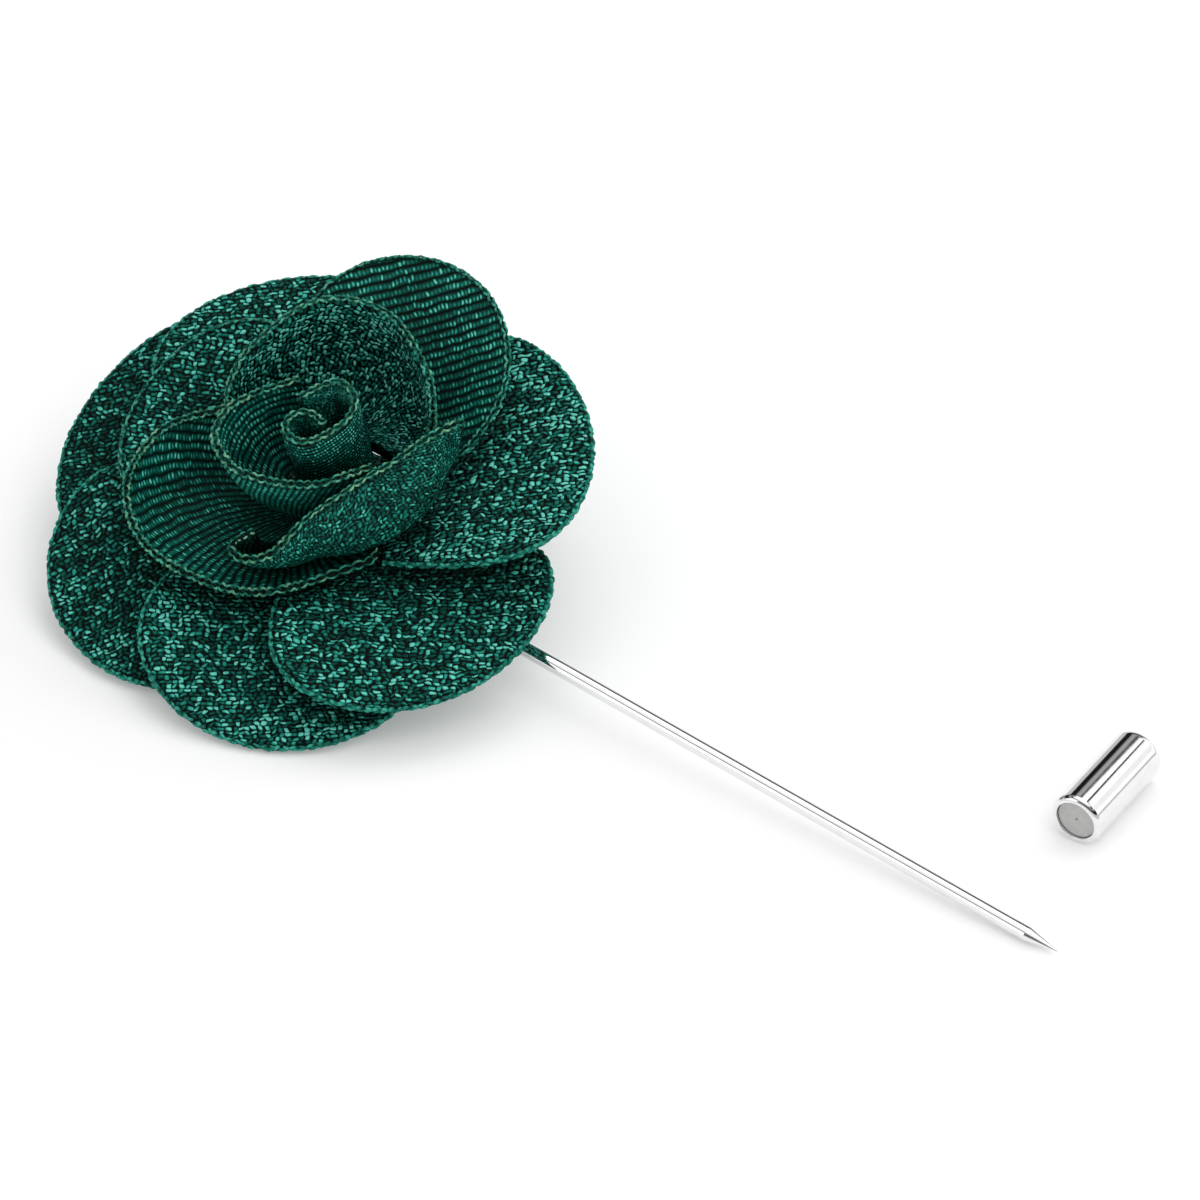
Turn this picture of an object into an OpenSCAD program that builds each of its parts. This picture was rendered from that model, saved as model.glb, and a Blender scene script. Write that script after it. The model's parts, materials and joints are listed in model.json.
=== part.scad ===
// Flower lapel pin: a cloth flower on a long straight pin, lying on a table beside its polished cap.
// Millimetres. +X runs along the pin towards its point, +Z is up, and the part rests on z = 0.
// The flower has its own frame: its axis leans, because the flower rests on the rims of two petals.

/* [Flower] */
// Distance from the flower's axis to the tips of the outer petals
flower_r = 24.4; // [22:0.2:28]
// Height of the tallest petal above the foot
flower_h = 15.4; // [14:0.2:18]
// Roll of the flower about the pin's own line, in degrees
flower_roll = 17.5; // [12:0.5:22]
// Slope of the flower along the pin, in degrees
flower_slope = 3.4; // [1:0.2:6]
// Distance from the pin's line to the flower's axis
flower_side = 1.1; // [0:0.05:2.5]
// Shift of the bud and the inner petals along the pin, off the flower's axis
core_x = 1.25; // [0.8:0.05:1.6]
// Shift of the bud and the inner petals across the pin
core_y = 0.95; // [0.5:0.05:1.3]

/* [Cloth] */
// Thickness of the petals' cloth
petal_t = 1.0; // [1:0.02:1.1]
// Gap between petals where their roots lie on one another
petal_gap = 0.2; // [0.1:0.02:0.3]
// Radius of the circle of the outer petals' roots
outer_root_r = 6.0; // [5.8:0.1:6.6]
// Radius at which the root of the right-hand outer petal lies, nearer the axis than the others
right_root_r = 4.2; // [4:0.1:4.8]
// Radius of the circle of the second ring's roots
second_root_r = 5.1; // [5:0.1:5.4]

/* [Bud] */
// Radius of the rolled bud to the middle of its cloth
bud_r = 3.0; // [2.8:0.05:3.2]
// Height of the bud's rim above the foot
bud_h = 14.2; // [12:0.2:15]

/* [Foot] */
// Radius of the round gathered foot under the petals
foot_r = 7.5; // [7.2:0.1:8.5]
// Radius of the flat top of the foot, which carries the petals' roots
foot_top_r = 4.6; // [4.2:0.1:4.8]
// Drop of the foot's top from its flat to its edge
foot_slope_h = 1.2; // [0.9:0.1:1.6]

/* [Pin] */
// Diameter of the pin's wire
wire_d = 1.3; // [1.1:0.05:1.5]
// Length of the straight wire, from under the flower's axis to the point's shoulder
wire_len = 74.0; // [60:0.5:90]
// Length of the turned point
point_len = 3.0; // [2:0.1:5]
// Diameter of the flat at the very tip of the point
tip_d = 0.12; // [0.08:0.02:0.3]
// Depth of the pin's line below the flower's frame
wire_drop = 1.8; // [1.7:0.05:2.2]
// Diameter of the hidden post that the wire is soldered into
post_d = 1.9; // [1.7:0.05:2.1]
// Length of the hidden post behind the flower's axis
post_back = 4.5; // [3:0.1:6]
// Length of the post that stands out of the foot
post_out = 0.3; // [0.2:0.1:0.6]
// Clearance between the post and its hole in the foot
post_clear = 0.05; // [0.05:0.01:0.1]

/* [Cap] */
// Outer diameter of the cap
cap_d = 4.65; // [4.3:0.05:5.5]
// Length of the cap
cap_len = 10.5; // [9:0.5:14]
// Wall of the cap's metal shell
cap_wall = 0.55; // [0.5:0.05:0.7]
// Radius of the rounded far end of the cap
cap_round = 0.9; // [0.5:0.05:1.2]
// Radius of the rounded outer edge at the cap's mouth
cap_lip = 0.45; // [0.2:0.05:0.45]
// Depth of the cap's mouth in front of the grip
cap_rim = 0.25; // [0.15:0.05:0.5]
// Length of the grip plug inside the cap
grip_len = 7.0; // [5:0.5:8]
// Clearance between the grip and the cap's shell
grip_clear = 0.05; // [0.03:0.01:0.1]
// Diameter of the tiny hole in the grip, which the pin's point opens up
grip_hole_d = 0.3; // [0.2:0.05:0.6]
// Distance of the cap's mouth from the flower's axis, along the pin
cap_x = 69.5; // [60:0.5:90]
// Distance of the cap's mouth from the pin's line
cap_y = 12.1; // [8:0.5:20]
// Direction of the cap from its mouth to its closed end, in degrees from the pin's line
cap_turn = 96; // [60:1:130]

/* [Hidden] */
$fn = 48;

cloth = [0.05, 0.33, 0.28];
cloth_dark = [0.04, 0.26, 0.22];
steel = [0.80, 0.81, 0.83];
grip_grey = [0.72, 0.72, 0.70];

// Height of the middle of the lowest cloth above the foot, as a share of its thickness
root_lift = 0.8;
// Height of the middle of the cloth at the petals' roots, for each level of the stack of roots
function level(n) = root_lift * petal_t + n * (petal_t + petal_gap);

// OPEN PETALS
// A round petal on a neck. Its centre line is a curve from root to tip, pulled towards a middle point.
// Radii and widths are shares of flower_r, heights above the root are shares of flower_h, angles are degrees.
// right and left are the half widths on either side of the centre line, looking out from the flower's axis.
// Each petal's right side lies on its neighbour, so that side is the raised one and keeps a broad neck.
// cup is the half angle that the petal is curved through across its width.
// roll turns it about its centre line.
AZ = 0;
LEVEL = 1;
MID_R = 2;
MID_H = 3;
TIP_R = 4;
TIP_H = 5;
RIGHT = 6;
LEFT = 7;
NECK = 8;
CUP = 9;
ROLL_ROOT = 10;
ROLL_TIP = 11;
//                     az  level  mid_r   mid_h  tip_r   tip_h  right   left  neck  cup  roll_root  roll_tip
outer_right = [        47,     0, 0.533,  0.143, 0.943,  0.143, 0.522, 0.522, 0.36,   8,     -10.5,       -5];
outer_front_right = [ -22,     0, 0.533,  0.078, 0.984,  0.071, 0.512, 0.512, 0.28,   8,       -14,     -5.5];
outer_front = [       -66,     0, 0.533,  0.039, 1.000, -0.013, 0.492, 0.492, 0.30,   8,       -14,       -6];
outer_left = [       -121,     0, 0.533,  0.000, 0.992, -0.019, 0.425, 0.492, 0.20,  15,       -14,       -6];
outer_back_left = [  -172,     0, 0.533, -0.078, 0.975, -0.026, 0.535, 0.512, 0.10,  15,        -8,     -3.5];
outer_back = [        143,     1, 0.533,  0.135, 0.885,  0.090, 0.461, 0.430, 0.10,   6,         5,        4];
second_back = [        91,     2, 0.451,  0.100, 0.852,  0.390, 0.420, 0.410, 0.30,  18,        -2,       -2];
second_left = [       177,     2, 0.410,  0.097, 0.709,  0.195, 0.370, 0.420, 0.08,  16,        -8,       -7];

// Share of a petal's length from its root to its widest place
belly_place = 0.55;
// Half width of the neck on the side that its neighbour covers, as a share of flower_r
covered_neck = 0.075;
// Cup of the neck, as a half angle in degrees
cup_root = 5;
// Width left at the very tip, as a share of the petal's width
tip_w_share = 0.06;

// WRAPPED PETALS
// A petal wrapped about the core, drawn from a foot arc up to its rim.
// Each row is a place along the rim: radius and bulge are shares of flower_r, height is a share of flower_h.
RIM_AZ = 0;
RIM_R = 1;
RIM_H = 2;
RIM_BULGE = 3;
//   azimuth  radius  height   bulge
cupped_rim = [
    [    187,  0.402,  0.584, -0.102],
    [    206,  0.582,  0.623, -0.123],
    [    225,  0.705,  0.578, -0.123],
    [    246,  0.697,  0.474, -0.123],
    [    277,  0.557,  0.357, -0.082],
    [    320,  0.377,  0.279, -0.041],
    [    335,  0.340,  0.260, -0.041]];
folded_rim = [
    [    -90,  0.405,  0.597,  0.000],
    [    -94,  0.455,  0.582, -0.010],
    [    -95,  0.491,  0.558, -0.020],
    [    -90,  0.501,  0.534, -0.020],
    [    -83,  0.473,  0.534,  0.000],
    [    -77,  0.428,  0.558,  0.040],
    [    -69,  0.338,  0.612,  0.110],
    [    -42,  0.258,  0.701,  0.213],
    [      8,  0.291,  0.753,  0.205],
    [     27,  0.393,  0.799,  0.061],
    [     32,  0.492,  0.838, -0.061]];
hood_rim = [
    [    197,  0.342,  0.590, -0.054],
    [    191,  0.357,  0.812, -0.026],
    [    167,  0.358,  0.942,  0.020],
    [    127,  0.418,  1.000,  0.020],
    [     96,  0.434,  0.942,  0.020],
    [     63,  0.389,  0.844,  0.020],
    [     44,  0.365,  0.714,  0.000],
    [     38,  0.324,  0.519,  0.000]];
cup_rim = [
    [    150,  0.201,  0.818, -0.020],
    [    189,  0.268,  0.838, -0.020],
    [    205,  0.330,  0.844, -0.020],
    [    222,  0.366,  0.829, -0.020],
    [    241,  0.341,  0.792, -0.020],
    [    258,  0.286,  0.765, -0.020],
    [    279,  0.238,  0.740, -0.020],
    [    304,  0.212,  0.726, -0.016],
    [    334,  0.198,  0.714, -0.012],
    [    362,  0.193,  0.617,  0.000]];

// Where the foot of each wrapped petal stands about the bud.
// layers counts the petals that lie between it and the bud.
// out and up are small shifts of the foot's arc in millimetres, start and end are the azimuths of its ends.
// belly is the height of the petal's fullest place above the foot.
LAYERS = 0;
STAND = 1;
OUT = 2;
UP = 3;
START = 4;
END = 5;
BELLY = 6;
//           layers level  out   up  start  end  belly
cupped_seat = [   0,    2, 0.2, 0.2,   226, 318,  0.3];
folded_seat = [   1,    3, 0.3, 0.4,   -82,  15,  0.0];
hood_seat =   [   0,    3, 0.3, 0.4,   176,  55,  0.7];
cup_seat =    [   0,    3, 0.0, 0.2,   205, 340,  2.0];
// Room between the bud's radius and the inner face of the first wrapped petal's foot
core_room = 0.9;

// THE BUD'S PATH
// The strip's course seen from above, from its inner end. Radius is the distance from the bud's middle,
// as a share of bud_r.
PATH_AZ = 0;
PATH_R = 1;
//   azimuth  radius
bud_path = [
    [    351,  0.270],
    [    322,  0.227],
    [    218,  0.140],
    [    199,  0.437],
    [    212,  0.737],
    [    227,  0.950],
    [    243,  1.050],
    [    261,  1.065],
    [    280,  1.020],
    [    300,  0.877],
    [    335,  0.730],
    [      9,  0.793],
    [     41,  0.967],
    [     65,  1.080],
    [     87,  1.110],
    [    104,  1.060],
    [    125,  0.850],
    [    150,  0.740],
    [    177,  0.800]];

// Rows and columns of each petal's net
open_rows = 11;
open_cols = 13;
rim_rows = 8;
rim_cols = 29;
bud_rows = 3;
bud_cols = 48;
// Power that crowds the rows of an open petal's net towards its tip
row_crowding = 1.6;

// SMALL TOOLS
function unit(v) = v / norm(v);
function mix(a, b, f) = a + (b - a) * f;
function dir(a) = [cos(a), sin(a)];

// Point and slope of the quadratic curve through a and c, pulled towards b
function bow(a, b, c, f) = (1 - f) * (1 - f) * a + 2 * f * (1 - f) * b + f * f * c;
function bow_slope(a, b, c, f) = 2 * (1 - f) * (b - a) + 2 * f * (c - b);

// Smooth curve through a list of rows, at x rows along it
function row_at(rows, i) =
    i < 0 ? 2 * rows[0] - rows[1]
    : i >= len(rows) ? 2 * rows[len(rows) - 1] - rows[len(rows) - 2]
    : rows[i];
function spline_at(rows, x) =
    let (i = min(floor(x), len(rows) - 2), f = x - i,
         p0 = row_at(rows, i - 1), p1 = rows[i], p2 = rows[i + 1], p3 = row_at(rows, i + 2))
    0.5 * (2 * p1 + (p2 - p0) * f + (2 * p0 - 5 * p1 + 4 * p2 - p3) * f * f
           + (3 * p1 - p0 - 3 * p2 + p3) * f * f * f);

// PETAL NETS
// Half width of one side of an open petal at a share f of its length: from the neck to w, then round to the tip
function half_width(f, neck, w) =
    f < belly_place
    ? mix(neck, w, sin(90 * f / belly_place))
    : w * max(sqrt(max(0, 1 - pow((f - belly_place) / (1 - belly_place), 2))), tip_w_share);

// Place on the middle of an open petal's cloth: f along it, b across it
function open_point(p, root_r, f, b) =
    let (root_h = level(p[LEVEL]),
         a = [root_r, root_h],
         m = [p[MID_R] * flower_r, root_h + p[MID_H] * flower_h],
         t = [p[TIP_R] * flower_r, root_h + p[TIP_H] * flower_h],
         c = bow(a, m, t, f),
         s = unit(bow_slope(a, m, t, f)),
         bend = 2 * mix(cup_root, p[CUP], f) / ((p[RIGHT] + p[LEFT]) * flower_r),
         x = sin(b * bend) * 180 / PI / bend,
         y = (1 - cos(b * bend)) * 180 / PI / bend,
         roll = mix(p[ROLL_ROOT], p[ROLL_TIP], f),
         across = x * cos(roll) - y * sin(roll),
         above = x * sin(roll) + y * cos(roll),
         r = c[0] - s[1] * above,
         h = c[1] + s[0] * above)
    [r * cos(p[AZ]) - across * sin(p[AZ]), r * sin(p[AZ]) + across * cos(p[AZ]), h];

function open_net(p, root_r) =
    [for (i = [0:open_rows - 1])
        let (f = 1 - pow(1 - i / (open_rows - 1), row_crowding),
             right = flower_r * half_width(f, p[NECK], p[RIGHT]),
             left = flower_r * half_width(f, covered_neck, p[LEFT]))
        [for (j = [0:open_cols - 1])
            let (q = sin(90 * (2 * j / (open_cols - 1) - 1)))
            open_point(p, root_r, f, q < 0 ? q * right : q * left)]];

// Place on the middle of a wrapped petal's cloth: x rows along its rim, f of the way up from its foot
function rim_rows_at(rim, x) =
    spline_at([for (row = rim) concat(flower_r * row[RIM_R] * dir(row[RIM_AZ]),
                                      [flower_h * row[RIM_H], flower_r * row[RIM_BULGE]])], x);
function rim_point(rim, seat, x, f) =
    let (at = rim_rows_at(rim, x),
         top = max([for (row = rim) flower_h * row[RIM_H]]),
         seat_r = core_r + seat[LAYERS] * (petal_t + petal_gap) + seat[OUT],
         seat_h = level(seat[STAND]) + seat[UP],
         foot = concat(seat_r * dir(mix(seat[START], seat[END], x / (len(rim) - 1))), [seat_h]),
         away = unit([at[0], at[1]]),
         lift = max(0, (at[2] - seat_h) / (top - seat_h)),
         pull = [at[0] + away[0] * at[3], at[1] + away[1] * at[3], seat_h + seat[BELLY] * lift])
    bow(foot, pull, [at[0], at[1], at[2]], f) + [core_x, core_y, 0];

function rim_net(rim, seat) =
    [for (i = [0:rim_rows - 1])
        [for (j = [0:rim_cols - 1])
            rim_point(rim, seat, j / (rim_cols - 1) * (len(rim) - 1), i / (rim_rows - 1))]];

// CLOTH WALLS
// Normal of a net at row i and column j
function net_normal(net, i, j) =
    let (n = len(net) - 1, m = len(net[0]) - 1,
         du = net[min(i + 1, n)][j] - net[max(i - 1, 0)][j],
         dv = net[i][min(j + 1, m)] - net[i][max(j - 1, 0)])
    unit(cross(du, dv));

// Points of both faces of the cloth about a net, the front face first
function wall_points(net, t) =
    [for (side = [0.5, -0.5])
        for (i = [0:len(net) - 1])
            for (j = [0:len(net[0]) - 1])
                net[i][j] + side * t * net_normal(net, i, j)];

// Closed sheet of cloth of thickness t about a net
module cloth_wall(net, t) {
    n = len(net);
    m = len(net[0]);
    back = n * m;
    front_faces = [for (i = [0:n - 2]) for (j = [0:m - 2]) each [
        [i * m + j, i * m + j + 1, (i + 1) * m + j + 1],
        [i * m + j, (i + 1) * m + j + 1, (i + 1) * m + j]]];
    back_faces = [for (f = front_faces) [f[2] + back, f[1] + back, f[0] + back]];
    ring = concat([for (j = [0:m - 1]) j],
                  [for (i = [1:n - 1]) i * m + m - 1],
                  [for (j = [m - 2:-1:0]) (n - 1) * m + j],
                  [for (i = [n - 2:-1:1]) i * m]);
    edge_faces = [for (k = [0:len(ring) - 1])
        let (a = ring[k], b = ring[(k + 1) % len(ring)])
        each [[a, b + back, b], [a, a + back, b + back]]];
    all_faces = concat(front_faces, back_faces, edge_faces);
    polyhedron(points = wall_points(net, t), faces = all_faces, convexity = 6);
}

// THE FLOWER'S PLACE
function turned(p) =
    let (c = cos(flower_roll), s = sin(flower_roll),
         y = c * p[1] - s * p[2],
         z = s * p[1] + c * p[2],
         d = cos(flower_slope), e = sin(flower_slope))
    [d * p[0] + e * z, y, d * z - e * p[0]];

outer_petals = [outer_right, outer_front_right, outer_front, outer_left, outer_back_left, outer_back];
function outer_root(p) = p == outer_right ? right_root_r : outer_root_r;
outer_points = [for (p = outer_petals)
    each [for (q = wall_points(open_net(p, outer_root(p)), petal_t)) turned(q)]];

// The lowest petals rest on the table
flower_z = -min([for (q = outer_points) q[2]]);
// The pin's line under the flower, and its slope down to the point's shoulder on the table
wire_z = flower_z - wire_drop * cos(flower_roll);
wire_slope = asin((wire_z - wire_d / 2) / wire_len);
pin_len = wire_len + point_len;

// The origin is at the middle of the whole part's footprint
x_low = min([for (q = outer_points) q[0]]);
x_high = pin_len * cos(wire_slope);
y_low = min([for (q = outer_points) q[1]]) + flower_side;
cap_r = cap_d / 2;
cap_end_y = cap_y + cap_round + (cap_len - cap_round) * sin(cap_turn)
            + (cap_r - cap_round) * abs(cos(cap_turn));
y_high = max(cap_end_y, max([for (q = outer_points) q[1]]) + flower_side);
middle = [-(x_low + x_high) / 2, -(y_low + y_high) / 2, 0];

module in_flower() {
    translate(middle + [0, flower_side, flower_z]) rotate([flower_roll, flower_slope, 0]) children();
}

module open_petal(p, root_r) {
    in_flower() cloth_wall(open_net(p, root_r), petal_t);
}

module wrapped_petal(rim, seat) {
    in_flower() cloth_wall(rim_net(rim, seat), petal_t);
}

// OUTER RING
module outer_petal_right() { color(cloth) open_petal(outer_right, right_root_r); }
module outer_petal_front_right() { color(cloth) open_petal(outer_front_right, outer_root_r); }
module outer_petal_front() { color(cloth) open_petal(outer_front, outer_root_r); }
module outer_petal_left() { color(cloth) open_petal(outer_left, outer_root_r); }
module outer_petal_back_left() { color(cloth) open_petal(outer_back_left, outer_root_r); }
module outer_petal_back() { color(cloth) open_petal(outer_back, outer_root_r); }

// SECOND RING
module second_petal_back() { color(cloth) open_petal(second_back, second_root_r); }
module second_petal_left() { color(cloth) open_petal(second_left, second_root_r); }

// PETALS AROUND THE BUD
// Mean radius of the first foot arc about the bud
core_r = bud_r + petal_t / 2 + core_room;

module cupped_petal() { color(cloth) wrapped_petal(cupped_rim, cupped_seat); }
module folded_petal() { color(cloth) wrapped_petal(folded_rim, folded_seat); }
module hood_petal() { color(cloth) wrapped_petal(hood_rim, hood_seat); }
module inner_cup() { color(cloth) wrapped_petal(cup_rim, cup_seat); }

// BUD
// A strip of cloth rolled up on itself, its inner end low and its outer end high
bud_base_h = level(1);
bud_dip = 0.6;
// Share of the bud's radius at its foot
bud_foot = 0.95;
function bud_net() =
    [for (i = [0:bud_rows - 1])
        [for (j = [0:bud_cols - 1])
            let (f = j / (bud_cols - 1),
                 at = spline_at([for (row = bud_path) bud_r * row[PATH_R] * dir(row[PATH_AZ])],
                                f * (len(bud_path) - 1)),
                 top = bud_h - bud_dip * (1 - f),
                 up = i / (bud_rows - 1))
            concat(mix(bud_foot, 1, up) * at + [core_x, core_y], [mix(bud_base_h, top, up)])]];
module bud() {
    color(cloth_dark) in_flower() cloth_wall(bud_net(), petal_t);
}

// FOOT
module flower_foot() {
    color(cloth_dark) difference() {
        intersection() {
            translate(middle + [0, flower_side, flower_z]) sphere(r = foot_r);
            in_flower() foot_top();
            translate(middle + [-2 * foot_r, -2 * foot_r, 0]) cube([4 * foot_r, 4 * foot_r, 4 * foot_r]);
        }
        along_pin() translate([0, 0, -post_back - post_clear])
            cylinder(d = post_d + 2 * post_clear, h = post_back + 3 * foot_r);
    }
}

// Everything below the foot's top: a boss under the bud, a flat for the petals' roots, and a sloping edge
boss_r = right_root_r - 2 * petal_gap;
boss_h = bud_base_h - petal_gap;
module foot_top() {
    rotate_extrude()
        polygon([[0, -2 * foot_r], [2 * foot_r, -2 * foot_r], [2 * foot_r, -foot_slope_h],
                 [foot_r, -foot_slope_h], [foot_top_r, 0], [boss_r, 0], [boss_r, boss_h], [0, boss_h]]);
}

// PIN
// The pin's own frame: +Z runs along the wire, from under the flower's axis to the point
module along_pin() {
    translate(middle + [0, 0, wire_z]) rotate([0, 90 + wire_slope, 0]) children();
}

module stick_pin() {
    color(steel) along_pin() {
        translate([0, 0, -post_back]) cylinder(d = post_d, h = post_back + foot_r + post_out);
        cylinder(d = wire_d, h = wire_len);
        translate([0, 0, wire_len]) cylinder(d1 = wire_d, d2 = tip_d, h = point_len);
    }
}

// CAP
// The cap's own frame: +Z runs from its mouth to its closed end
module in_cap() {
    translate(middle + [cap_x, cap_y, cap_r]) rotate([0, 0, cap_turn]) rotate([0, 90, 0]) children();
}

// Arc of radius r about a corner's centre, from angle a to angle b
corner_steps = 6;
function corner(centre, r, a, b) =
    [for (i = [0:corner_steps]) centre + r * dir(mix(a, b, i / corner_steps))];

// Overrun of a cutting body past the face that it opens
overrun = 1;

module cap_shell() {
    bore_r = cap_r - cap_wall;
    bore_end = cap_len - cap_wall - cap_round / 2;
    color(steel) in_cap() rotate_extrude() difference() {
        polygon(concat([[0, 0]],
                       corner([cap_r - cap_lip, cap_lip], cap_lip, -90, 0),
                       corner([cap_r - cap_round, cap_len - cap_round], cap_round, 0, 90),
                       [[0, cap_len]]));
        translate([-overrun, -overrun]) square([bore_r + overrun, bore_end + overrun]);
    }
}

module cap_grip() {
    color(grip_grey) in_cap() translate([0, 0, cap_rim]) difference() {
        cylinder(r = cap_r - cap_wall - grip_clear, h = grip_len);
        translate([0, 0, -overrun]) cylinder(d = grip_hole_d, h = grip_len + 2 * overrun);
    }
}

outer_petal_right();
outer_petal_front_right();
outer_petal_front();
outer_petal_left();
outer_petal_back_left();
outer_petal_back();
second_petal_back();
second_petal_left();
cupped_petal();
folded_petal();
hood_petal();
inner_cup();
bud();
flower_foot();
stick_pin();
cap_shell();
cap_grip();
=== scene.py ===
"""A cloth flower on a long stick pin, lying on a pale table beside its polished cap.

Lengths are in millimetres until a mesh is made, and angles are in degrees.
The flower has its own frame: its axis leans, because it rests on the rims of two petals.
"""

import json
import math

import bpy
import numpy as np
from mathutils import Matrix, Vector
from mathutils.bvhtree import BVHTree


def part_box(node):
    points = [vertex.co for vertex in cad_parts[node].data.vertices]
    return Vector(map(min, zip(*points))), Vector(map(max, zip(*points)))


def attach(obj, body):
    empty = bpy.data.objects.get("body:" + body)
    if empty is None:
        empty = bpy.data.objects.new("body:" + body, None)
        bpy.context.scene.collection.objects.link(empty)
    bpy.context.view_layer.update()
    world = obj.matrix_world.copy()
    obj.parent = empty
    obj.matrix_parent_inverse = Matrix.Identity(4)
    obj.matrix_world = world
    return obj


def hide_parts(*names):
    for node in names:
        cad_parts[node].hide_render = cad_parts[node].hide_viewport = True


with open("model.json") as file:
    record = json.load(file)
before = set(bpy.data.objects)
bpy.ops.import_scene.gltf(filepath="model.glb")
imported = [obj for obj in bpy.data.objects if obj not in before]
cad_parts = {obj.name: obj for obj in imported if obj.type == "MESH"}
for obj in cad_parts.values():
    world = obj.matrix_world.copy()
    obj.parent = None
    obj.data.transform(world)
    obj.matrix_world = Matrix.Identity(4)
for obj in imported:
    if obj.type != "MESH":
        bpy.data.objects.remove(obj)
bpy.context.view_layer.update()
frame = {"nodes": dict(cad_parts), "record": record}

MM = 0.001

# The flower's driving sizes, as the solids have them
FLOWER_R = 24.4
FLOWER_H = 15.4
FLOWER_ROLL = 17.5
FLOWER_SLOPE = 3.4
FLOWER_SIDE = 1.1
CORE = np.array([1.25, 0.95])
PETAL_T = 1.0
PETAL_GAP = 0.2
OUTER_ROOT = 6.0
RIGHT_ROOT = 4.2
SECOND_ROOT = 5.1
BUD_R = 3.0
BUD_H = 14.2
BUD_DIP = 0.6
BUD_FOOT = 0.95
FOOT_R = 7.5

# The pin and the cap
WIRE_D = 1.3
WIRE_LEN = 74.0
WIRE_DROP = 1.8
POINT_LEN = 3.0
POST_D = 1.9
POST_BACK = 4.5
POST_OUT = 0.3
CAP_D = 4.65
CAP_LEN = 10.5
CAP_WALL = 0.55
CAP_ROUND = 0.9
CAP_LIP = 0.45
CAP_RIM = 0.25
CAP_TURN = 96

# A petal's woven faces lie this far from the middle of its cloth, and its edge is rounded over this width
FACE_OFF = 0.36
EDGE_ROUND = 0.45
# The cloth is lighter over this width along its stitched edge, by this share of its tone: painted shade,
# darker further in
RIM_SHADE_WIDTH = 4.5
RIM_SHADE_SHARE = 0.20
# Rays that feel for the pieces about a point of the cloth: how many, how far they reach, how far off the
# face they start, the share of the points that send them, how often their result is smoothed over the mesh,
# and the share of its tone that a covered place keeps, where shade is painted into the cloth's colour
RAYS = 12
RAY_REACH = 7.0
RAY_START = 0.45
RAY_SHARE = 0.3
RAY_SMOOTHING = 12
SHADE = 0.50


def level(n):
    """Height of the middle of the cloth at a petal's root, n levels up the stack of roots."""
    return 0.8 * PETAL_T + n * (PETAL_T + PETAL_GAP)


# Open petals: radii and widths are shares of FLOWER_R, heights above the root are shares of FLOWER_H, and
# root_r is a length
OPEN_COLUMNS = ("azimuth", "level", "mid_r", "mid_h", "tip_r", "tip_h",
                "right", "left", "neck", "cup", "roll_root", "roll_tip", "root_r")
OPEN_PETALS = {
    "outer_petal_right": (47, 0, 0.533, 0.143, 0.943, 0.143, 0.522, 0.522, 0.36, 8, -10.5, -5, RIGHT_ROOT),
    "outer_petal_front_right": (-22, 0, 0.533, 0.078, 0.984, 0.071, 0.512, 0.512, 0.28, 8, -14, -5.5,
                                OUTER_ROOT),
    "outer_petal_front": (-66, 0, 0.533, 0.039, 1.000, -0.013, 0.492, 0.492, 0.30, 8, -14, -6, OUTER_ROOT),
    "outer_petal_left": (-121, 0, 0.533, 0.000, 0.992, -0.019, 0.425, 0.492, 0.20, 15, -14, -6, OUTER_ROOT),
    "outer_petal_back_left": (-172, 0, 0.533, -0.078, 0.975, -0.026, 0.535, 0.512, 0.10, 15, -8, -3.5,
                              OUTER_ROOT),
    "outer_petal_back": (143, 1, 0.533, 0.135, 0.885, 0.090, 0.461, 0.430, 0.10, 6, 5, 4, OUTER_ROOT),
    "second_petal_back": (91, 2, 0.451, 0.100, 0.852, 0.390, 0.420, 0.410, 0.30, 18, -2, -2, SECOND_ROOT),
    "second_petal_left": (177, 2, 0.410, 0.097, 0.709, 0.195, 0.370, 0.420, 0.08, 16, -8, -7, SECOND_ROOT),
}
BELLY_PLACE = 0.55
COVERED_NECK = 0.075
CUP_ROOT = 5

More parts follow.
